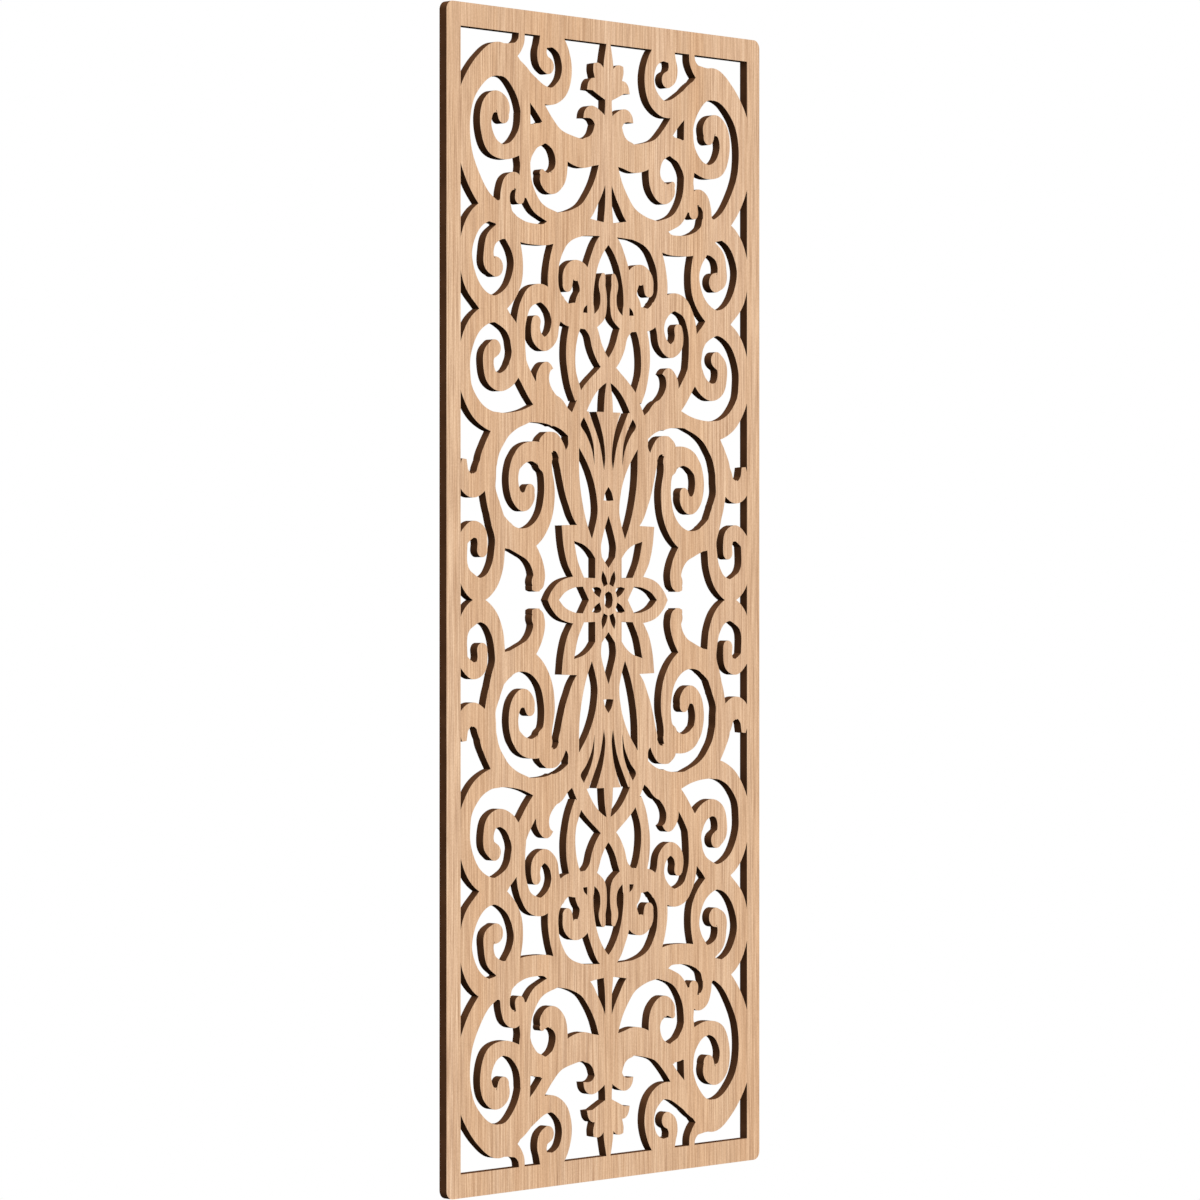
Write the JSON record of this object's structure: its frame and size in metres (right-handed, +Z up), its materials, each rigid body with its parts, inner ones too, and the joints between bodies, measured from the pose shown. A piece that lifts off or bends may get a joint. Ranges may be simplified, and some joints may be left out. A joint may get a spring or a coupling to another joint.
{
  "type": "fretwork grille",
  "caption": "Tall flat wooden grille: a plain frame round a pierced, mirrored pattern of scrolls, curled leaves and a central rosette.",
  "frame": {"origin": "on the back face, in the middle of the top rail's width and height, where the grille is hung or fixed", "axes": "+Z up along the long side, +X to the right as seen from the front, +Y out of the back; the front faces -Y"},
  "size_m": [0.289, 0.0063, 0.746],
  "materials": {
    "fretwork_wood": "bare sanded, with dark scorched cut edges"
  },
  "bodies": {
    "root": {"fretwork_panel": "fretwork_wood"}
  },
  "joints": []
}
